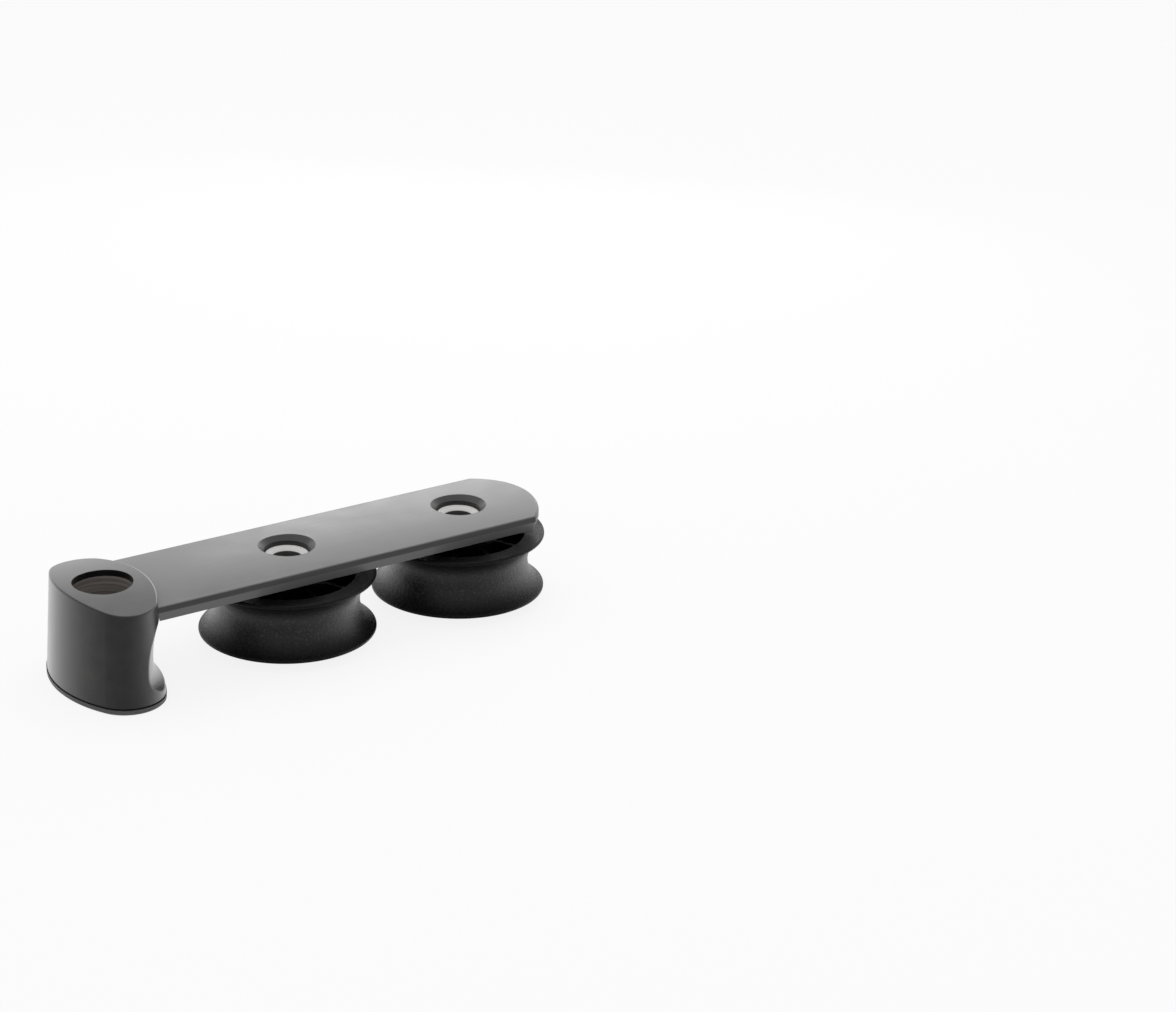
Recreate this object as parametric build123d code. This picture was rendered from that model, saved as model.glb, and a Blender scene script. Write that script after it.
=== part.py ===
from build123d import *
from math import asin, atan, cos, degrees, hypot, pi, sin, tan
import os

# Rope deck organizer: two grooved roller-bearing sheaves under a crowned top plate,
# with a hollowed fairlead post at one end. Millimetres, +Z up from the deck.
# The origin is on the deck plane, on the bolt axis of the sheave beside the post,
# and +X runs along the plate away from the post.

# Layout of the deck bolts, all three in line
bolt_pitch = 56.7
sheave_count = 2
bolt_bore_r = 4.2
bolt_head_r = 8.05  # mouth of the 90 degree seats

# Running gaps of a sheave above the deck and below the plate
deck_gap = 2.85
plate_gap = 2.35

# Sheave moulding
flange_r = 25.0
sheave_height = 17.4
groove_depth = 4.7
lip_thickness = 1.0  # band round the outside of each lip
lip_round = 0.4
land_width = 5.6  # shallow cone on each face, from the lip in to the pockets
land_dip = 0.5
rim_wall = 1.8  # between the groove and the pockets, at the waist
web_thickness = 2.0
hub_wall = 1.9
rib_count = 12
rib_thickness = 1.2
rib_phase = -6.0  # turn of the first rib from +X, as the sheaves stand at rest

# Roller bearing: caged rollers between the inner race and the sheave's own bore
roller_r = 1.5
roller_pitch_r = 9.5
cage_bar = 1.3  # least width of the cage between two rollers
cage_wall = 1.6
cage_end = 0.8
cage_end_play = 0.15
race_inset = 1.92  # from the sheave's faces in to the ends of the race
cap_thickness = 1.2
cap_clearance = 0.45  # between a cap's edge and the turning hub
cap_boss_r = 8.9
washer_r = 9.8
washer_thickness = 1.2
turned_chamfer = 0.25  # broken edges of the caps, washers and bush

# Axle bush, turned in one piece with its deck flange
bush_r = 6.9
bush_flange_r = 12.0
bush_flange_thickness = 1.9
spigot_height = 2.7  # how far the bush reaches up into the plate
spigot_wall_gap = 0.1

# Top plate
plate_thickness = 5.4
plate_half_width = 17.65
plate_crown_drop = 1.04
plate_side_band = 1.6  # upright upper part of the long sides
plate_undercut = 1.0
plate_edge_r = 0.8  # rounding of the upper edge
plate_corner_r = 1.2  # in plan, where the long sides meet the round end
plate_bore_r = 6.4
plate_end_r = 23.3  # round free end, about the last bolt
tongue_half_width = 10.2

# Fairlead post
post_half_width = 12.05
post_half_length = 21.2
post_tip_r = 8.8
post_rise = 1.9  # top of the post above the plate
post_crown_drop = 1.8
post_draft = 1.58  # growth of the outline from the top down to the foot
post_edge_r = 0.5
post_well_r = 8.25  # the hole in the lip and tongue that a bolt's head goes down
hollow_z = 9.4  # height of the rope hollow's deepest line
hollow_depth = 2.63
hollow_rise = 14.0  # from the deepest line up to where the hollow runs out
hollow_fall = 5.9  # and down to its toe
hollow_edge_r = 1.2

# Foot pad under the post
foot_thickness = 1.9
foot_lip = 0.2  # outline of the pad outside the post's lower edge
foot_land_inset = 0.9
foot_shadow_gap = 0.4
foot_chamfer = 0.4

# Fits
assembly_gap = 0.05
running_gap = 0.06
pocket_gap = 0.08

# Heights and radii that follow from the sizes above
sheave_mid_z = deck_gap + sheave_height / 2
plate_z = deck_gap + sheave_height + plate_gap
plate_top_z = plate_z + plate_thickness
post_top_z = plate_top_z + post_rise
post_x = -bolt_pitch
last_x = bolt_pitch * (sheave_count - 1)
inner_track_r = roller_pitch_r - roller_r - running_gap
hub_bore_r = roller_pitch_r + roller_r + running_gap
hub_r = hub_bore_r + hub_wall
roller_count = int(2 * pi * roller_pitch_r / (2 * (roller_r + pocket_gap) + cage_bar))
race_length = sheave_height - 2 * race_inset
cage_height = race_length - 2 * cage_end_play
roller_length = cage_height - 2 * (pocket_gap + cage_end)
spigot_top_z = plate_z + spigot_height


def turned(*points):
    """A solid turned about Z from (radius, height) corners."""
    return revolve(make_face(Plane.XZ * Polyline(*points, close=True)), Axis.Z)


def ring(outer_r, inner_r, z_low, z_high):
    return turned((inner_r, z_low), (outer_r, z_low), (outer_r, z_high), (inner_r, z_high))


def disc(radius, z_low, z_high):
    return Pos(0, 0, z_low) * extrude(Circle(radius), z_high - z_low)


def bolt_seat(z_head):
    """The 90 degree seat of a countersunk bolt whose head is flush at z_head, and its bore."""
    return turned(
        (0, 0),
        (bolt_bore_r, 0),
        (bolt_bore_r, z_head - bolt_head_r + bolt_bore_r),
        (bolt_head_r, z_head),
        (bolt_head_r, post_top_z),
        (0, post_top_z),
    )


def crowned_bar(x_low, x_high, z_low, z_top, half_width, drop, spare):
    """A bar along X with a top that falls by drop at half_width, and goes on for spare beyond that."""
    crown_r = (half_width**2 + drop**2) / (2 * drop)
    reach = half_width + spare
    edge_z = z_top - crown_r + (crown_r**2 - reach**2) ** 0.5
    top = ThreePointArc((-reach, edge_z), (0, z_top), (reach, edge_z))
    base = Polyline((reach, edge_z), (reach, z_low), (-reach, z_low), (-reach, edge_z))
    return Pos(x_low, 0, 0) * extrude(Plane.YZ * make_face(top + base), x_high - x_low)


# Sheave


def sheave_blank():
    """The moulding without its pockets: rounded lips, a rope groove and a shallow cone on each face."""
    half = sheave_height / 2
    low = half - land_dip
    land_r = flange_r - land_width
    lip = half - lip_thickness
    groove = ThreePointArc((flange_r, lip), (flange_r - groove_depth, 0), (flange_r, -lip))
    faces = Polyline(
        (flange_r, -lip), (flange_r, -half), (land_r, -low), (hub_bore_r, -low),
        (hub_bore_r, low), (land_r, low), (flange_r, half), (flange_r, lip),
    )
    profile = make_face(groove + faces)
    profile = fillet(profile.vertices().group_by(Axis.X)[-1], lip_round)
    return revolve(Plane.XZ * profile, Axis.Z)


def pocket_ring():
    """The pockets of both faces before the ribs are left standing, with a drafted outer wall."""
    half = sheave_height / 2
    web = web_thickness / 2
    waist_r = flange_r - groove_depth - rim_wall
    upper = turned((hub_r, web), (waist_r, web), (flange_r - land_width, half - land_dip),
                   (flange_r - land_width, half), (hub_r, half))
    return upper + mirror(upper, Plane.XY)


def ribs():
    inner_r = hub_r - hub_wall / 2
    blade = Pos((flange_r + inner_r) / 2, 0, 0) * Box(flange_r - inner_r, rib_thickness, sheave_height)
    return [Rot(0, 0, rib_phase) * turn * blade for turn in PolarLocations(0, rib_count)]


def sheave():
    return sheave_blank() - (pocket_ring() - ribs())


# Bearing and axle of one sheave, on its own axis


def roller_places():
    return [Pos(0, 0, sheave_mid_z) * place for place in PolarLocations(roller_pitch_r, roller_count)]


def rollers():
    return Compound([place * Cylinder(roller_r, roller_length) for place in roller_places()])


def roller_cage():
    """A moulded ring with a window round each roller."""
    half = cage_height / 2
    cage = ring(roller_pitch_r + cage_wall / 2, roller_pitch_r - cage_wall / 2, -half, half)
    width = 2 * (roller_r + pocket_gap)
    window = Box(2 * cage_wall, width, roller_length + 2 * pocket_gap)
    return Pos(0, 0, sheave_mid_z) * cage - [place * window for place in roller_places()]


def inner_race():
    half = race_length / 2
    return ring(inner_track_r, bush_r + assembly_gap, sheave_mid_z - half, sheave_mid_z + half)


def bearing_cap(z_seat, z_race):
    """A cap that closes the bearing, with a boss that reaches to its washer."""
    toward = 1 if z_seat > z_race else -1
    z_rim = z_race + toward * cap_thickness
    cap_r = hub_bore_r - cap_clearance
    bore = bush_r + assembly_gap
    return turned(
        (bore, z_race),
        (cap_r, z_race),
        (cap_r, z_rim),
        (cap_boss_r, z_rim),
        (cap_boss_r, z_seat),
        (bore, z_seat),
    )


def axle_bush():
    bush = disc(bush_flange_r, 0, bush_flange_thickness) + disc(bush_r, 0, plate_z)
    bush += disc(plate_bore_r - spigot_wall_gap, 0, spigot_top_z)
    rims = bush.edges().filter_by(GeomType.CIRCLE)
    outer = rims.filter_by(lambda edge: edge.radius > bush_r) + rims.sort_by(Axis.Z)[-1:]
    return chamfer(outer, turned_chamfer) - bolt_seat(plate_top_z)


def bearing_parts():
    lower_washer_top = bush_flange_thickness + washer_thickness
    upper_washer_base = plate_z - washer_thickness
    bore = bush_r + assembly_gap
    return {
        "axle_bush": axle_bush(),
        "inner_race": inner_race(),
        "rollers": rollers(),
        "roller_cage": roller_cage(),
        "lower_bearing_cap": bearing_cap(lower_washer_top, sheave_mid_z - race_length / 2),
        "upper_bearing_cap": bearing_cap(upper_washer_base, sheave_mid_z + race_length / 2),
        "lower_washer": ring(washer_r, bore, bush_flange_thickness, lower_washer_top),
        "upper_washer": ring(washer_r, bore, upper_washer_base, plate_z),
    }


# Fairlead post and its foot


def side_centre_x(half_width, half_length, tip_r):
    """How far beyond the middle the centre of each long side's arc lies."""
    side_r = (half_width**2 + half_length**2 - 2 * half_length * tip_r) / (2 * (half_width - tip_r))
    return side_r - half_width


def pointed_oval(grow):
    """The post's plan, grown all round: two long arcs and two tip arcs, tangent where they meet."""
    across = side_centre_x(post_half_width, post_half_length, post_tip_r)
    tip_y = post_half_length - post_tip_r
    side_r = across + post_half_width + grow
    reach = side_r / hypot(across, tip_y)
    join_x, join_y = across * (reach - 1), tip_y * reach
    x, y = post_half_width + grow, post_half_length + grow
    outline = (
        ThreePointArc((join_x, -join_y), (x, 0), (join_x, join_y))
        + ThreePointArc((join_x, join_y), (0, y), (-join_x, join_y))
        + ThreePointArc((-join_x, join_y), (-x, 0), (-join_x, -join_y))
        + ThreePointArc((-join_x, -join_y), (0, -y), (join_x, -join_y))
    )
    return make_face(outline)


def post_blank(grow=0.0):
    """The drafted body without its crown, on the post's own axis."""
    height = post_top_z - foot_thickness
    taper = degrees(atan(post_draft / height))
    return Pos(0, 0, foot_thickness) * extrude(pointed_oval(post_draft + grow), height, taper=taper)


def tongue_plan(grow):
    """Plan of the plate's tongue, round about the post's bolt and open towards the sheaves."""
    half = tongue_half_width + grow
    return Circle(half) + Pos(bolt_pitch / 4, 0) * Rectangle(bolt_pitch / 2, 2 * half)


def hollow_arc(reach, overrun):
    """An arc from the hollow's deepest point past its rim: start, middle and end as (out, along)."""
    radius = (hollow_depth**2 + reach**2) / (2 * hollow_depth)
    turn = asin(reach / radius) * overrun
    return [(radius * (1 - cos(a)) - hollow_depth, radius * sin(a)) for a in (0, turn / 2, turn)]


def post_hollow():
    """The rope's bearing hollow, turned about the centre of the long side's arc."""
    across = side_centre_x(post_half_width, post_half_length, post_tip_r)
    lean = atan(post_draft / (post_top_z - foot_thickness))
    grown = (post_top_z - hollow_z) * tan(lean)
    rise = hollow_arc(hollow_rise, 1.3)
    fall = [(out, -along) for out, along in hollow_arc(hollow_fall, 1.2)]
    outer = 2 * hollow_depth
    section = make_face(
        ThreePointArc(*rise) + ThreePointArc(*fall)
        + Polyline(rise[-1], (outer, rise[-1][1]), (outer, fall[-1][1]), fall[-1])
    )
    section = Pos(across + post_half_width + grown, hollow_z) * Rot(0, 0, degrees(lean)) * section
    return Pos(-across, 0, 0) * revolve(Plane.XZ * section, Axis.Z)


def post():
    wide = 2 * post_half_width
    crown = crowned_bar(-wide, wide, 0, post_top_z, post_half_length, post_crown_drop, 2 * post_draft)
    body = post_blank() & crown
    body = fillet(body.faces().sort_by(Axis.Z)[-1].edges(), post_edge_r)
    body -= post_hollow()
    rim = body.faces().filter_by(GeomType.TORUS).edges().filter_by(GeomType.BSPLINE)
    body = fillet(rim, hollow_edge_r)
    pocket = Pos(0, 0, plate_z) * extrude(tongue_plan(assembly_gap), plate_thickness + assembly_gap)
    body -= pocket
    return body - bolt_seat(plate_z) - disc(post_well_r, plate_z, post_top_z)


def post_foot():
    low = foot_thickness - foot_shadow_gap
    pad = extrude(pointed_oval(post_draft + foot_lip), low)
    pad = chamfer(pad.faces().sort_by(Axis.Z)[0].edges(), foot_chamfer)
    land = extrude(pointed_oval(post_draft - foot_land_inset), foot_thickness)
    return pad + land - disc(bolt_bore_r, 0, foot_thickness)


# Top plate


def plate_blank():
    """The crowned bar with its round free end, before the post and the bolts are cut from it."""
    start = post_x - plate_half_width
    side_low = plate_top_z - plate_crown_drop - plate_side_band
    depth = side_low - plate_z
    plan = Pos((start + last_x) / 2, 0) * Rectangle(last_x - start, 2 * plate_half_width)
    end = Circle(plate_end_r) & Pos(plate_end_r / 2, 0) * Rectangle(plate_end_r, 2 * plate_half_width)
    plan += Pos(last_x, 0) * end
    plan = fillet(plan.vertices().group_by(Axis.X)[-1], plate_corner_r)
    blank = Pos(0, 0, side_low) * extrude(plan, plate_top_z - side_low)
    blank += Pos(0, 0, side_low) * extrude(plan, -depth, taper=degrees(atan(plate_undercut / depth)))
    blank &= crowned_bar(
        start - plate_edge_r, last_x + plate_end_r + plate_edge_r, 0, plate_top_z,
        plate_half_width, plate_crown_drop, plate_edge_r,
    )
    return fillet(blank.faces().sort_by(Axis.Z)[-1].edges(), plate_edge_r)


def top_plate():
    length = last_x + plate_end_r - post_x
    beyond = Pos(post_x + length, 0, plate_top_z / 2) * Box(2 * length, 3 * plate_half_width, plate_top_z)
    beyond -= Pos(post_x, 0, 0) * post_blank(assembly_gap)
    beyond += Pos(post_x, 0, 0) * extrude(tongue_plan(0), plate_top_z)
    plate = plate_blank() & beyond
    for i in range(sheave_count):
        plate -= Pos(i * bolt_pitch, 0, 0) * disc(plate_bore_r, plate_z, plate_top_z)
        plate -= Pos(i * bolt_pitch, 0, 0) * bolt_seat(plate_top_z)
    return plate - Pos(post_x, 0, 0) * disc(post_well_r, plate_z, plate_top_z)


def write(name, solid):
    export_step(solid, os.path.join("parts", name + ".step"))


os.makedirs("parts", exist_ok=True)
write("top_plate", top_plate())
write("post", Pos(post_x, 0, 0) * post())
write("post_foot", Pos(post_x, 0, 0) * post_foot())
for i in range(sheave_count):
    at = Pos(i * bolt_pitch, 0, 0)
    write(f"sheave_{i + 1}", at * Pos(0, 0, sheave_mid_z) * sheave())
    for name, solid in bearing_parts().items():
        write(f"{name}_{i + 1}", at * solid)
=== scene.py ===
"""Rope deck organizer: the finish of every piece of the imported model, and the photograph's stage."""

import math

import bpy
from bpy.props import FloatProperty, FloatVectorProperty, PointerProperty
from mathutils import Matrix, Vector


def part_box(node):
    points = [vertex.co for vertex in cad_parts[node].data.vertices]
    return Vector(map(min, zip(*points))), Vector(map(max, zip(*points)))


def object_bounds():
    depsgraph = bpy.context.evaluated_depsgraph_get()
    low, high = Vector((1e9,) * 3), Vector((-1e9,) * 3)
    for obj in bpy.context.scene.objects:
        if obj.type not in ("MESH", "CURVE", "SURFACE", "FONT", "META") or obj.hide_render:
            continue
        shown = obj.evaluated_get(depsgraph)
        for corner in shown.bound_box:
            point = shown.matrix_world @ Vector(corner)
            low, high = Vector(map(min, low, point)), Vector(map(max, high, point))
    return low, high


bl_info = {
    "name": "Rope Deck Organizer",
    "version": (1, 0, 0),
    "blender": (4, 5, 0),
    "location": "View3D > Sidebar > Organizer",
    "description": "Finishes and stage for a rope deck organizer with two sheaves and a fairlead post",
    "category": "Object",
}

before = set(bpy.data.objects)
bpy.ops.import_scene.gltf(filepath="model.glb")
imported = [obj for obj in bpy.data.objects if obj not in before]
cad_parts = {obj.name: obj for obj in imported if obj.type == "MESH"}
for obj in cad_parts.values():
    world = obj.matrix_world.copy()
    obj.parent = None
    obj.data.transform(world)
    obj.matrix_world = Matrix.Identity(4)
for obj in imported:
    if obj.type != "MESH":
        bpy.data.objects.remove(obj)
cad_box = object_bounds()

MM = 0.001
PANEL_TAB = "Organizer"
SHEAVES = (1, 2)


def centre(node):
    """Middle of a node's box, in metres."""
    low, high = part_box(node)
    return (low + high) / 2


# Places that the finishes are laid out from, in millimetres
FIRST_BOLT_X = centre("axle_bush_1").x / MM
BOLT_PITCH = centre("axle_bush_2").x / MM - FIRST_BOLT_X
POST_BOLT_X = FIRST_BOLT_X - BOLT_PITCH
PLATE_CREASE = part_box("top_plate")[0].z / MM + 2.76  # where the undercut starts
PLATE_SIDE_TOP = PLATE_CREASE + 1.3
PLATE_SEAT_R = 8.05
PLATE_SEAT_WALL_R = 6.4  # upright wall of the plate round each bush
HEAD_BORE_R = 8.25  # hole down the post
PAD_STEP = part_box("post_foot")[1].z / MM - 0.4  # below the thin land that the post stands on
SHEAVE_MIDDLE = centre("sheave_1").z / MM
SPECK_FADE = (2.0, 7.0)  # off the sheaves' middle, where their specks thin out
SHEEN_FADE = (2.5, 7.2)  # off the sheaves' middle, where their sheen goes
POCKET_R = 19.4  # outer edge of the sheaves' pockets
BUSH_BORE_R = 4.2
BEHIND_WALL = 0.05  # how far a mask reaches past the wall that it covers

# Painted shade: shares of a piece's colour that stand in for the shade on faces that light hardly reaches
PLATE_SIDE_SHADE = 0.42
PLATE_UNDERCUT_SHADE = 0.58
PLATE_SEAT_SHADE = 0.6
PLATE_SEAT_WALL_SHADE = 0.25
POST_BORE_SHADE = 0.2
PAD_GAP_SHADE = 0.1
POCKET_SHADE = 0.3
BUSH_BORE_SHADE = 0.1

# What the lips and pockets of the sheaves keep of the groove's look; the fibre specks are the moulding's own,
# and their thinning on the lips is painted shade
LIP_SPECKS = 0.2
LIP_SHEEN = 0.25
POCKET_SHEEN = 0.15

# How much of the plate's anodising is matt, and not mirror-like metal
PLATE_MATT = 0.35
PLATE_UNDERCUT_MATT = 0.9

NOISE_RANGE = (0.3, 0.7)  # where nearly all of a noise texture lies

# Lamps, in metres
OVERHEAD_PLACE = (0.1, 0.25, 0.6)
OVERHEAD_SIZE = (0.7, 0.5)
BACKLIGHT_PLACE = (0.3, 0.32, 0.17)
BACKLIGHT_SIZE = (0.3, 0.2)

# How bright mirrors see the walls, as a share of the brightest side, at each turn in degrees from +X to +Y
WALLS = (
    (-180.0, 0.16), (-115.0, 0.13), (-78.0, 0.2), (-51.0, 0.34), (0.0, 0.84),
    (54.0, 0.84), (90.0, 1.0), (128.0, 0.58), (160.0, 0.26), (180.0, 0.16),
)
# Where mirrors see the room change, by the height of the direction they look in: 1 is straight up
NEAR_FLOOR_BAND = (-0.7, -0.45)
UPPER_WALL_BAND = (-0.1, 0.25)
CEILING_BAND = (0.25, 0.6)

FLOOR_WHITE = 0.9
FLOOR_DROP = 0.0001  # keeps the floor clear of the faces that stand on it, in metres
FLOOR_GLOW = 0.86  # share of plain white in the floor that the camera sees


def sheave_bolt_x(number):
    """Place along X of the bolt through a sheave, in millimetres."""
    return FIRST_BOLT_X + (number - 1) * BOLT_PITCH


# Node helpers: most of them add nodes to a tree and give back a socket


def new_finish(name, colour, roughness, metallic=0.0):
    """A material with its tree and shader, and plain values on the shader's own sockets."""
    material = bpy.data.materials.new(name)
    material.use_nodes = True
    shader = material.node_tree.nodes["Principled BSDF"]
    shader.inputs["Base Color"].default_value = (*colour, 1.0)
    shader.inputs["Roughness"].default_value = roughness
    shader.inputs["Metallic"].default_value = metallic
    return material, material.node_tree, shader


def millimetres(tree, shift=(0.0, 0.0, 0.0), stretch=(1.0, 1.0, 1.0)):
    """The point on the object in millimetres, moved by shift and then stretched."""
    where = tree.nodes.new("ShaderNodeTexCoord")
    mapping = tree.nodes.new("ShaderNodeMapping")
    mapping.vector_type = "POINT"
    mapping.inputs["Scale"].default_value = [s / MM for s in stretch]
    mapping.inputs["Location"].default_value = [d * s for d, s in zip(shift, stretch)]
    tree.links.new(where.outputs["Object"], mapping.inputs["Vector"])
    return mapping.outputs["Vector"]


def noise(tree, vector, scale, detail=2.0, roughness=0.5):
    """A noise texture from 0 to 1 over the point given by vector."""
    node = tree.nodes.new("ShaderNodeTexNoise")
    node.inputs["Scale"].default_value = scale
    node.inputs["Detail"].default_value = detail
    node.inputs["Roughness"].default_value = roughness
    tree.links.new(vector, node.inputs["Vector"])
    return node.outputs["Fac"]


def math_node(tree, operation, first, second):
    """first and second joined by the operation; each is a socket or a number."""
    node = tree.nodes.new("ShaderNodeMath")
    node.operation = operation
    for socket, value in zip(node.inputs, (first, second)):
        if isinstance(value, bpy.types.NodeSocket):
            tree.links.new(value, socket)
        else:
            socket.default_value = value
    return node.outputs["Value"]


def spread(tree, value, low, high, to_low, to_high, smooth=False):
    """value from low..high to to_low..to_high, held at the ends."""
    node = tree.nodes.new("ShaderNodeMapRange")
    node.clamp = True
    if smooth:
        node.interpolation_type = "SMOOTHSTEP"
    ends = {"From Min": low, "From Max": high, "To Min": to_low, "To Max": to_high}
    for name, number in ends.items():
        node.inputs[name].default_value = number
    tree.links.new(value, node.inputs["Value"])
    return node.outputs["Result"]


def vary(tree, texture, to_low, to_high):
    """A noise texture laid out over to_low..to_high."""
    return spread(tree, texture, *NOISE_RANGE, to_low, to_high)


def inside_edge(tree, value, edge, blend=0.1):
    """A mask that is 1 where value is under edge and falls to 0 over the blend past it."""
    return spread(tree, value, edge, edge + blend, 1.0, 0.0)


def blend_colours(tree, factor, first, second):
    """first where factor is 0 and second where it is 1; each is a socket or a colour."""
    node = tree.nodes.new("ShaderNodeMix")
    node.data_type = "RGBA"
    tree.links.new(factor, node.inputs["Factor"])
    for socket, value in ((node.inputs[6], first), (node.inputs[7], second)):
        if isinstance(value, bpy.types.NodeSocket):
            tree.links.new(value, socket)
        else:
            socket.default_value = (*value, 1.0)
    return node.outputs[2]


def tinted(colour, share):
    """The colour made darker by a share under 1, or lighter by one over it."""
    return tuple(c * share for c in colour)


def clouded(tree, texture, colour, low, high):
    """The colour from its share low to its share high, as the texture goes."""
    return blend_colours(tree, vary(tree, texture, 0.0, 1.0), tinted(colour, low), tinted(colour, high))


def relief(tree, height, depth_mm, normal=None):
    """A bump of height 0 to 1 that is depth_mm deep, laid over another one if normal is given."""
    node = tree.nodes.new("ShaderNodeBump")
    node.inputs["Distance"].default_value = depth_mm * MM
    tree.links.new(height, node.inputs["Height"])
    if normal is not None:
        tree.links.new(normal, node.inputs["Normal"])
    return node.outputs["Normal"]


def radius_about(tree, bolt_x):
    """Distance in millimetres from the upright axis of the bolt at bolt_x."""
    flat = millimetres(tree, shift=(-bolt_x, 0.0, 0.0), stretch=(1.0, 1.0, 0.0))
    length = tree.nodes.new("ShaderNodeVectorMath")
    length.operation = "LENGTH"
    tree.links.new(flat, length.inputs[0])
    return length.outputs["Value"]


def height_above_deck(tree):
    """Height in millimetres."""
    split = tree.nodes.new("ShaderNodeSeparateXYZ")
    tree.links.new(millimetres(tree), split.inputs["Vector"])
    return split.outputs["Z"]


def feed(tree, shader, sockets):
    """Links each socket to the shader's input of that name."""
    for name, socket in sockets.items():
        tree.links.new(socket, shader.inputs[name])


def paint(material, *nodes):
    """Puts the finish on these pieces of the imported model."""
    for name in nodes:
        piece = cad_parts[name]
        if not piece.material_slots:
            piece.data.materials.append(material)
        for place in piece.material_slots:
            place.material = material


# Finishes


def anodised_plate(look):
    """Grey anodised bar: fine lines along it, a soft mottle, and painted shade on its sides and in its holes.
    """
    name = "anodised_plate"
    material, tree, shader = new_finish(name, look.plate_colour, look.plate_roughness, metallic=1.0)
    point = millimetres(tree)
    along = millimetres(tree, stretch=(0.03, 2.4, 2.4))
    lines = noise(tree, along, scale=1.0, detail=3.0, roughness=0.6)
    mottle = noise(tree, point, scale=0.11, detail=3.0, roughness=0.55)
    grain = noise(tree, point, scale=5.5, detail=2.0, roughness=0.6)
    tone = math_node(tree, "ADD", vary(tree, mottle, 0.0, 0.6), vary(tree, lines, 0.0, 0.4))
    colour = blend_colours(tree, tone, tinted(look.plate_colour, 0.9), tinted(look.plate_colour, 1.1))

    height = height_above_deck(tree)
    from_bolts = [radius_about(tree, sheave_bolt_x(number)) for number in SHEAVES]
    from_bolt = math_node(tree, "MINIMUM", *from_bolts)
    # Masks for painted shade on the sides, the undercut, the seat cones and the upright seat walls
    sides = inside_edge(tree, height, PLATE_SIDE_TOP, blend=0.3)
    undercut = inside_edge(tree, height, PLATE_CREASE - 0.1, blend=0.2)
    seat = inside_edge(tree, from_bolt, PLATE_SEAT_R)
    seat_wall = inside_edge(tree, from_bolt, PLATE_SEAT_WALL_R + BEHIND_WALL)
    for mask, share in (
        (sides, PLATE_SIDE_SHADE),
        (undercut, PLATE_UNDERCUT_SHADE),
        (seat, PLATE_SEAT_SHADE),
        (seat_wall, PLATE_SEAT_WALL_SHADE),
    ):
        colour = blend_colours(tree, mask, colour, tinted(look.plate_colour, share))

    post_bore = inside_edge(tree, radius_about(tree, POST_BOLT_X), HEAD_BORE_R + 2 * BEHIND_WALL)
    round_bore = millimetres(tree, stretch=(0.02, 0.02, 1.4))
    turned = noise(tree, round_bore, scale=1.0, detail=2.0, roughness=0.6)
    marks = spread(tree, turned, 0.4, 0.6, 0.0, 1.0)
    bore_colour = blend_colours(tree, marks, tinted(look.bore_colour, 0.55), look.bore_colour)
    matt = spread(tree, undercut, 0.0, 1.0, PLATE_MATT, PLATE_UNDERCUT_MATT)
    matt = math_node(tree, "MAXIMUM", post_bore, matt)
    feed(tree, shader, {
        "Base Color": blend_colours(tree, post_bore, colour, bore_colour),
        "Metallic": math_node(tree, "SUBTRACT", 1.0, matt),
        "Roughness": vary(tree, mottle, look.plate_roughness - 0.04, look.plate_roughness + 0.05),
        "Normal": relief(tree, grain, depth_mm=0.004, normal=relief(tree, lines, depth_mm=0.006)),
    })
    return material


def anodised_post(look):
    """Dark anodised body under a soft clear coat: fine peel, faint upright lines and a soft mottle."""
    name = "anodised_post"
    material, tree, shader = new_finish(name, look.post_colour, look.post_roughness, metallic=1.0)
    shader.inputs["Coat Weight"].default_value = 1.0
    shader.inputs["Coat Roughness"].default_value = 0.35
    point = millimetres(tree)
    upright = millimetres(tree, stretch=(1.6, 1.6, 0.05))
    mottle = noise(tree, point, scale=0.16, detail=4.0, roughness=0.6)
    peel = noise(tree, point, scale=3.2, detail=2.0, roughness=0.5)
    lines = noise(tree, upright, scale=1.0, detail=2.0, roughness=0.5)
    colour = clouded(tree, mottle, look.post_colour, 0.88, 1.12)
    # Painted shade down the hole through the post
    bore = inside_edge(tree, radius_about(tree, POST_BOLT_X), HEAD_BORE_R + BEHIND_WALL)
    feed(tree, shader, {
        "Base Color": blend_colours(tree, bore, colour, tinted(look.post_colour, POST_BORE_SHADE)),
        "Roughness": vary(tree, mottle, look.post_roughness - 0.03, look.post_roughness + 0.04),
        "Normal": relief(tree, peel, depth_mm=0.005, normal=relief(tree, lines, depth_mm=0.006)),
    })
    return material


def moulded_pad(look):
    """Matt grey pad with the fine texture of a mould, and a dark line of painted shade in the gap where the
    post stands on it.
    """
    material, tree, shader = new_finish("moulded_pad", look.pad_colour, roughness=0.5)
    grain = noise(tree, millimetres(tree), scale=2.6, detail=3.0, roughness=0.6)
    colour = clouded(tree, grain, look.pad_colour, 0.85, 1.15)
    # Painted shade in the thin gap between the post and the pad
    line = spread(tree, height_above_deck(tree), PAD_STEP - 0.05, PAD_STEP + 0.02, 0.0, 1.0)
    feed(tree, shader, {
        "Base Color": blend_colours(tree, line, colour, tinted(look.pad_colour, PAD_GAP_SHADE)),
        "Normal": relief(tree, grain, depth_mm=0.008),
    })
    return material


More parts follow.
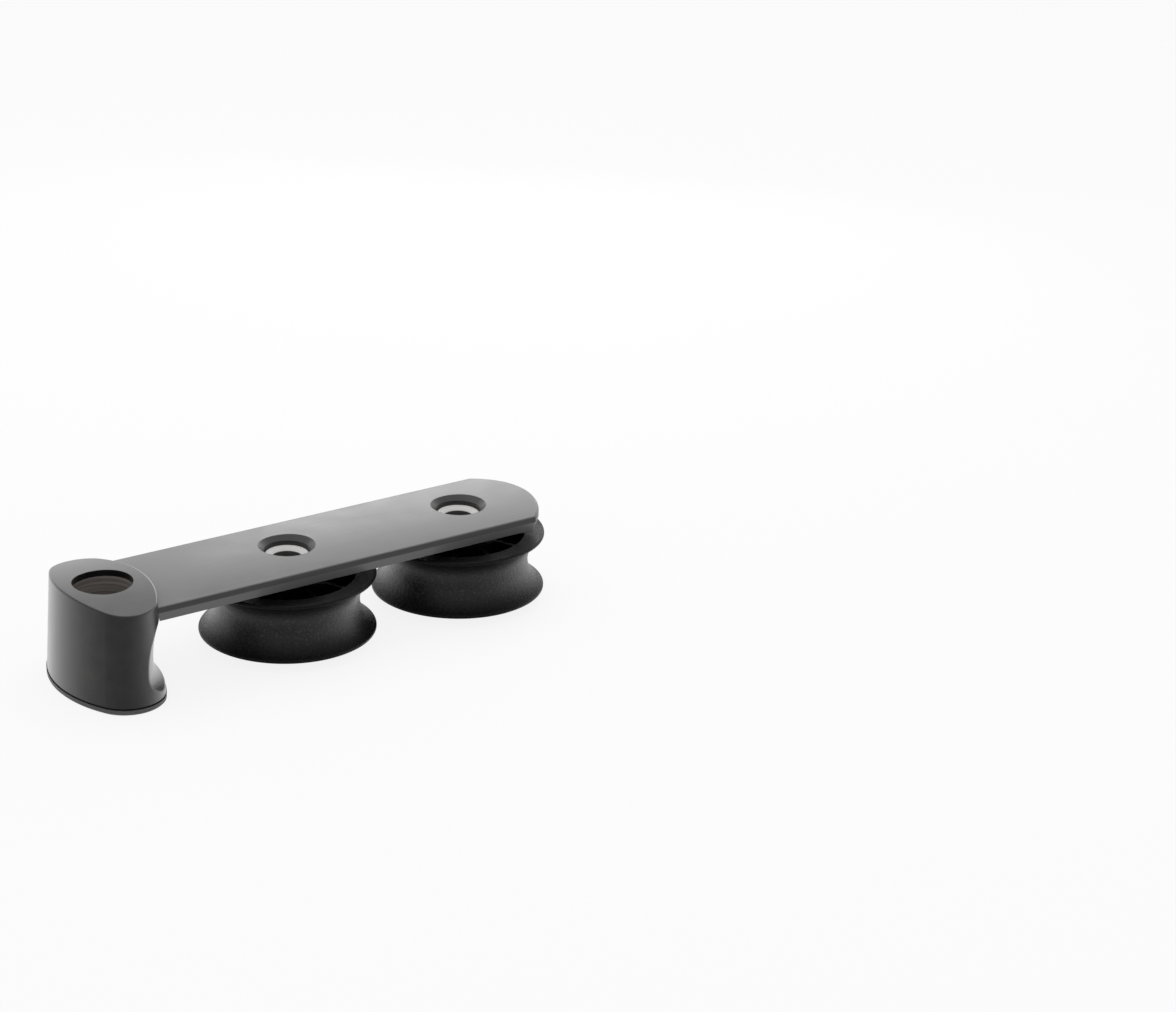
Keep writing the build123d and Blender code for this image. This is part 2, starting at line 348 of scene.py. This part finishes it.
def filled_moulding(look, number):
    """Black glass-filled moulding: pale fibre specks and sheen in the rope groove, dull lips and pockets; the
    lips' fewer specks and the dark pockets are painted shade.
    """
    name = f"filled_moulding_{number}"
    material, tree, shader = new_finish(name, look.sheave_colour, look.sheave_roughness)
    point = millimetres(tree)
    grain = noise(tree, point, scale=1.5, detail=3.0, roughness=0.6)
    specks = noise(tree, point, scale=1.7, detail=2.0, roughness=0.8)
    colour = clouded(tree, grain, look.sheave_colour, 0.5, 1.5)

    above_middle = math_node(tree, "SUBTRACT", height_above_deck(tree), SHEAVE_MIDDLE)
    off_middle = math_node(tree, "ABSOLUTE", above_middle, 0.0)
    # Fibre specks are the moulding's own; thinning them towards the lips paints shade there
    groove = spread(tree, off_middle, *SPECK_FADE, 1.0, LIP_SPECKS)
    fibres = math_node(tree, "MULTIPLY", groove, spread(tree, specks, 0.54, 0.66, 0.0, 1.0))
    colour = blend_colours(tree, fibres, colour, look.fibre_colour)
    # Painted shade in the sheave's pockets
    pockets = inside_edge(tree, radius_about(tree, sheave_bolt_x(number)), POCKET_R - 0.4, blend=0.4)
    sheen = spread(tree, off_middle, *SHEEN_FADE, 1.0, LIP_SHEEN)
    pocket_sheen = spread(tree, pockets, 0.0, 1.0, 1.0, POCKET_SHEEN)
    feed(tree, shader, {
        "Base Color": blend_colours(tree, pockets, colour, tinted(look.sheave_colour, POCKET_SHADE)),
        "Specular IOR Level": math_node(tree, "MULTIPLY", sheen, pocket_sheen),
        "Roughness": vary(tree, grain, look.sheave_roughness - 0.08, look.sheave_roughness + 0.1),
        "Normal": relief(tree, grain, depth_mm=0.15),
    })
    return material


def turned_steel(look, number):
    """Bright stainless steel with the lathe's rings round one bolt's axis, and painted shade down the bore.
    """
    name = f"turned_steel_{number}"
    material, tree, shader = new_finish(name, look.steel_colour, roughness=0.3, metallic=0.15)
    radius = radius_about(tree, sheave_bolt_x(number))
    reach = math_node(tree, "ADD", radius, height_above_deck(tree))
    rings = tree.nodes.new("ShaderNodeTexNoise")
    rings.noise_dimensions = "1D"
    rings.inputs["Scale"].default_value = 5.0
    rings.inputs["Detail"].default_value = 3.0
    tree.links.new(reach, rings.inputs["W"])
    cut = rings.outputs["Fac"]
    bright = spread(tree, cut, 0.35, 0.65, 0.0, 1.0)
    colour = blend_colours(tree, bright, tinted(look.steel_colour, 0.88), look.steel_colour)
    # Painted shade down the bush's bore
    bore = inside_edge(tree, radius, BUSH_BORE_R + BEHIND_WALL, blend=0.15)
    feed(tree, shader, {
        "Base Color": blend_colours(tree, bore, colour, tinted(look.steel_colour, BUSH_BORE_SHADE)),
        "Roughness": vary(tree, cut, 0.24, 0.38),
        "Normal": relief(tree, cut, depth_mm=0.012),
    })
    return material


def bearing_plastic(name, colour, roughness):
    """Smooth moulded bearing plastic with a faint clouding."""
    material, tree, shader = new_finish(name, colour, roughness)
    point = millimetres(tree)
    cloud = noise(tree, point, scale=0.5, detail=3.0)
    fine = noise(tree, point, scale=4.0)
    feed(tree, shader, {
        "Base Color": clouded(tree, cloud, colour, 0.88, 1.08),
        "Normal": relief(tree, fine, depth_mm=0.004),
    })
    return material


# Settings that a user would change


def colour_setting(name, description, default):
    return FloatVectorProperty(
        name=name, description=description, default=default, size=3, min=0.0, max=1.0, subtype="COLOR"
    )


def share_setting(name, description, default):
    return FloatProperty(
        name=name, description=description, default=default, min=0.0, max=1.0, subtype="FACTOR"
    )


def angle_setting(name, description, degrees):
    return FloatProperty(
        name=name, description=description, default=math.radians(degrees), subtype="ANGLE", unit="ROTATION"
    )


def power_setting(name, description, default):
    return FloatProperty(
        name=name, description=description, default=default, min=0.0, subtype="POWER", unit="POWER"
    )


class OrganizerFinishes(bpy.types.PropertyGroup):
    """Colours and gloss of the organizer's pieces"""

    plate_colour: colour_setting("Plate", "Grey anodising of the top plate", (0.23, 0.23, 0.23))
    plate_roughness: share_setting("Plate roughness", "How satin the top plate is", 0.36)
    bore_colour: colour_setting("Bore", "Dull turned wall of the hole down the post", (0.3, 0.27, 0.25))
    post_colour: colour_setting("Post", "Dark coat of the fairlead post", (0.11, 0.11, 0.109))
    post_roughness: share_setting("Post roughness", "How satin the post is", 0.38)
    pad_colour: colour_setting("Foot pad", "Grey of the pad under the post", (0.1, 0.1, 0.1))
    sheave_colour: colour_setting("Sheaves", "Black of the sheave mouldings", (0.005, 0.005, 0.005))
    fibre_colour: colour_setting("Fibres", "Pale glass fibres at the sheaves' surface", (0.042, 0.042, 0.042))
    sheave_roughness: share_setting("Sheave roughness", "How satin the sheaves are", 0.38)
    steel_colour: colour_setting("Steel", "Stainless bushes and washers", (0.95, 0.94, 0.92))
    roller_colour: colour_setting("Rollers", "Tan plastic of the rollers", (0.48, 0.4, 0.25))
    cage_colour: colour_setting("Cages", "Natural plastic of the roller cages", (0.6, 0.59, 0.55))
    cap_colour: colour_setting("Caps and races", "Black plastic of the caps and races", (0.02, 0.02, 0.021))


class OrganizerStage(bpy.types.PropertyGroup):
    """Camera, lamps and floor of the photograph"""

    camera_place: FloatVectorProperty(
        name="Camera place",
        description="Where the camera stands",
        default=(-0.39227, -0.69386, 0.36636),
        size=3,
        subtype="TRANSLATION",
        unit="LENGTH",
    )
    camera_azimuth: angle_setting("Azimuth", "Turn of the view from +Y towards +X", 35.504)
    camera_elevation: angle_setting("Elevation", "How far the view looks down", 22.256)
    camera_roll: angle_setting("Roll", "Turn of the picture about the line of sight", -1.505)
    camera_lens: FloatProperty(
        name="Lens", description="Focal length on a 36 mm wide frame", default=94.71, min=10.0, unit="CAMERA"
    )
    floor_size: FloatProperty(
        name="Floor",
        description="Width of the pale floor",
        default=6.0,
        min=0.5,
        subtype="DISTANCE",
        unit="LENGTH",
    )
    surround: FloatProperty(
        name="Surround", description="Light of the white room on the object", default=0.75, min=0.0
    )
    bright_side: FloatProperty(
        name="Bright side",
        description="Strength of the room's brightest side in mirrors",
        default=1.25,
        min=0.0,
    )
    near_floor: share_setting("Near floor", "Strength in mirrors of the floor close round the part", 0.4)
    dark_ceiling: share_setting("Dark ceiling", "Strength in mirrors of the room straight above", 0.25)
    overhead_power: power_setting("Overhead", "Power of the softbox above", 0.85)
    backlight_power: power_setting(
        "Backlight", "Power of the low softbox beyond the plate's free end", 0.22
    )


# Operators, one for each piece or group of like pieces


class ORGANIZER_OT_top_plate(bpy.types.Operator):
    """Finish the crowned top plate"""

    bl_idname = "organizer.top_plate"
    bl_label = "Top Plate"

    def execute(self, context):
        paint(anodised_plate(context.scene.organizer_finishes), "top_plate")
        return {"FINISHED"}


class ORGANIZER_OT_post(bpy.types.Operator):
    """Finish the fairlead post"""

    bl_idname = "organizer.post"
    bl_label = "Fairlead Post"

    def execute(self, context):
        paint(anodised_post(context.scene.organizer_finishes), "post")
        return {"FINISHED"}


class ORGANIZER_OT_foot(bpy.types.Operator):
    """Finish the pad under the post"""

    bl_idname = "organizer.foot"
    bl_label = "Foot Pad"

    def execute(self, context):
        paint(moulded_pad(context.scene.organizer_finishes), "post_foot")
        return {"FINISHED"}


class ORGANIZER_OT_sheaves(bpy.types.Operator):
    """Finish both sheave mouldings"""

    bl_idname = "organizer.sheaves"
    bl_label = "Sheaves"

    def execute(self, context):
        for number in SHEAVES:
            paint(filled_moulding(context.scene.organizer_finishes, number), f"sheave_{number}")
        return {"FINISHED"}


class ORGANIZER_OT_bushes(bpy.types.Operator):
    """Finish the steel bushes and washers"""

    bl_idname = "organizer.bushes"
    bl_label = "Bushes and Washers"

    def execute(self, context):
        for number in SHEAVES:
            steel = turned_steel(context.scene.organizer_finishes, number)
            paint(steel, f"axle_bush_{number}", f"lower_washer_{number}", f"upper_washer_{number}")
        return {"FINISHED"}


class ORGANIZER_OT_bearings(bpy.types.Operator):
    """Finish the races, rollers, cages and caps"""

    bl_idname = "organizer.bearings"
    bl_label = "Bearings"

    def execute(self, context):
        look = context.scene.organizer_finishes
        black = bearing_plastic("cap_plastic", look.cap_colour, roughness=0.4)
        tan = bearing_plastic("roller_plastic", look.roller_colour, roughness=0.28)
        natural = bearing_plastic("cage_plastic", look.cage_colour, roughness=0.4)
        for number in SHEAVES:
            caps = (f"lower_bearing_cap_{number}", f"upper_bearing_cap_{number}")
            paint(black, f"inner_race_{number}", *caps)
            paint(tan, f"rollers_{number}")
            paint(natural, f"roller_cage_{number}")
        return {"FINISHED"}


def view_matrix(stage):
    """The camera's place and turn, from its azimuth, elevation and roll."""
    azimuth, elevation, roll = stage.camera_azimuth, stage.camera_elevation, stage.camera_roll
    flat = math.cos(elevation)
    forward = Vector((math.sin(azimuth) * flat, math.cos(azimuth) * flat, -math.sin(elevation)))
    level = Vector((math.cos(azimuth), -math.sin(azimuth), 0.0))
    down = forward.cross(level)
    right = math.cos(roll) * level + math.sin(roll) * down
    up = math.sin(roll) * level - math.cos(roll) * down
    turn = Matrix((right, up, -forward)).transposed().to_4x4()
    return Matrix.Translation(stage.camera_place) @ turn


def photo_camera(stage):
    """The camera that took the photograph, as fitted to it."""
    lens = bpy.data.cameras.new("photo_camera")
    lens.lens = stage.camera_lens
    lens.sensor_width = 36.0
    lens.clip_start = 0.01
    camera = bpy.data.objects.new("photo_camera", lens)
    bpy.context.scene.collection.objects.link(camera)
    camera.matrix_world = view_matrix(stage)
    bpy.context.scene.camera = camera


def softbox(name, place, size, power):
    """A rectangular lamp at place, turned to the middle of the object."""
    lamp = bpy.data.lights.new(name, "AREA")
    lamp.shape = "RECTANGLE"
    lamp.size, lamp.size_y = size
    lamp.energy = power
    holder = bpy.data.objects.new(name, lamp)
    bpy.context.scene.collection.objects.link(holder)
    holder.location = place
    middle = (cad_box[0] + cad_box[1]) / 2
    holder.rotation_euler = (middle - Vector(place)).to_track_quat("-Z", "Y").to_euler()
    holder.visible_camera = False


def walls_in_mirrors(tree, direction, brightest):
    """How bright mirrors see the walls in each direction round the object, from the WALLS table."""
    around = tree.nodes.new("ShaderNodeTexGradient")
    around.gradient_type = "RADIAL"
    tree.links.new(direction, around.inputs["Vector"])
    ramp = tree.nodes.new("ShaderNodeValToRGB")
    tree.links.new(around.outputs["Fac"], ramp.inputs["Fac"])
    while len(ramp.color_ramp.elements) < len(WALLS):
        ramp.color_ramp.elements.new(0.5)
    for stop, (azimuth, share) in zip(ramp.color_ramp.elements, WALLS):
        stop.position = 0.5 + azimuth / 360
        stop.color = (share, share, share, 1.0)
    return math_node(tree, "MULTIPLY", ramp.outputs["Color"], brightest)


def white_room(stage):
    """White to the camera, one even light to matt faces, and a room with bright and dim sides to mirrors."""
    world = bpy.data.worlds.new("white_room")
    bpy.context.scene.world = world
    world.use_nodes = True
    tree = world.node_tree
    where = tree.nodes.new("ShaderNodeTexCoord").outputs["Generated"]
    split = tree.nodes.new("ShaderNodeSeparateXYZ")
    tree.links.new(where, split.inputs["Vector"])
    height = split.outputs["Z"]
    walls = walls_in_mirrors(tree, where, stage.bright_side)
    upper = spread(tree, height, *UPPER_WALL_BAND, 0.0, stage.dark_ceiling, smooth=True)
    walls = math_node(tree, "MAXIMUM", walls, upper)
    near = spread(tree, height, *NEAR_FLOOR_BAND, stage.near_floor, 0.0, smooth=True)
    walls = math_node(tree, "MAXIMUM", walls, near)
    overhead = spread(tree, height, *CEILING_BAND, 0.0, 1.0, smooth=True)
    mirrored = blend_colours(tree, overhead, walls, (stage.dark_ceiling,) * 3)

    paths = tree.nodes.new("ShaderNodeLightPath")
    glossy = paths.outputs["Is Glossy Ray"]
    matt = math_node(tree, "SUBTRACT", 1.0, glossy)
    mirror_light = math_node(tree, "MULTIPLY", glossy, mirrored)
    matt_light = math_node(tree, "MULTIPLY", matt, stage.surround)
    on_object = math_node(tree, "ADD", mirror_light, matt_light)
    strength = math_node(tree, "MAXIMUM", on_object, paths.outputs["Is Camera Ray"])
    background = tree.nodes["Background"]
    tree.links.new(strength, background.inputs["Strength"])
    background.inputs["Color"].default_value = (1.0, 1.0, 1.0, 1.0)


def pale_floor(stage):
    """A white floor that keeps the object's shadow; mirrors see the room through it."""
    half = stage.floor_size / 2
    corners = [(-half, -half, 0), (half, -half, 0), (half, half, 0), (-half, half, 0)]
    mesh = bpy.data.meshes.new("floor")
    mesh.from_pydata(corners, [], [(0, 1, 2, 3)])
    floor = bpy.data.objects.new("floor", mesh)
    bpy.context.scene.collection.objects.link(floor)
    floor.location.z = -FLOOR_DROP
    floor.visible_glossy = False
    material, tree, shader = new_finish("pale_floor", (FLOOR_WHITE,) * 3, roughness=0.9)
    shader.inputs["Specular IOR Level"].default_value = 0.0
    tone = noise(tree, millimetres(tree), scale=0.01)
    white = blend_colours(tree, tone, (FLOOR_WHITE - 0.01,) * 3, (FLOOR_WHITE + 0.01,) * 3)
    feed(tree, shader, {"Base Color": white})
    glow = tree.nodes.new("ShaderNodeEmission")
    paths = tree.nodes.new("ShaderNodeLightPath")
    mix = tree.nodes.new("ShaderNodeMixShader")
    seen = math_node(tree, "MULTIPLY", paths.outputs["Is Camera Ray"], FLOOR_GLOW)
    tree.links.new(seen, mix.inputs["Fac"])
    tree.links.new(shader.outputs["BSDF"], mix.inputs[1])
    tree.links.new(glow.outputs["Emission"], mix.inputs[2])
    tree.links.new(mix.outputs["Shader"], tree.nodes["Material Output"].inputs["Surface"])
    mesh.materials.append(material)


class ORGANIZER_OT_stage(bpy.types.Operator):
    """Set the camera, the lamps, the white room and the floor"""

    bl_idname = "organizer.stage"
    bl_label = "Stage"

    def execute(self, context):
        stage = context.scene.organizer_stage
        photo_camera(stage)
        softbox("overhead", OVERHEAD_PLACE, OVERHEAD_SIZE, stage.overhead_power)
        softbox("backlight", BACKLIGHT_PLACE, BACKLIGHT_SIZE, stage.backlight_power)
        white_room(stage)
        pale_floor(stage)
        context.scene.view_settings.view_transform = "Standard"
        return {"FINISHED"}


PIECES = (
    ORGANIZER_OT_top_plate,
    ORGANIZER_OT_post,
    ORGANIZER_OT_foot,
    ORGANIZER_OT_sheaves,
    ORGANIZER_OT_bushes,
    ORGANIZER_OT_bearings,
    ORGANIZER_OT_stage,
)


class ORGANIZER_PT_panel(bpy.types.Panel):
    """The organizer's finishes and stage"""

    bl_idname = "ORGANIZER_PT_panel"
    bl_label = "Rope Deck Organizer"
    bl_space_type = "VIEW_3D"
    bl_region_type = "UI"
    bl_category = PANEL_TAB

    def draw(self, context):
        for group in (context.scene.organizer_finishes, context.scene.organizer_stage):
            box = self.layout.box()
            for name in group.bl_rna.properties.keys():
                if name not in {"rna_type", "name"}:
                    box.prop(group, name)
        for operator in PIECES:
            self.layout.operator(operator.bl_idname)


CLASSES = (OrganizerFinishes, OrganizerStage, *PIECES, ORGANIZER_PT_panel)


def register():
    for cls in CLASSES:
        bpy.utils.register_class(cls)
    bpy.types.Scene.organizer_finishes = PointerProperty(type=OrganizerFinishes)
    bpy.types.Scene.organizer_stage = PointerProperty(type=OrganizerStage)


def unregister():
    del bpy.types.Scene.organizer_stage
    del bpy.types.Scene.organizer_finishes
    for cls in reversed(CLASSES):
        bpy.utils.unregister_class(cls)


def main():
    register()
    bpy.ops.organizer.top_plate()
    bpy.ops.organizer.post()
    bpy.ops.organizer.foot()
    bpy.ops.organizer.sheaves()
    bpy.ops.organizer.bushes()
    bpy.ops.organizer.bearings()
    bpy.ops.organizer.stage()


if __name__ == "__main__":
    main()
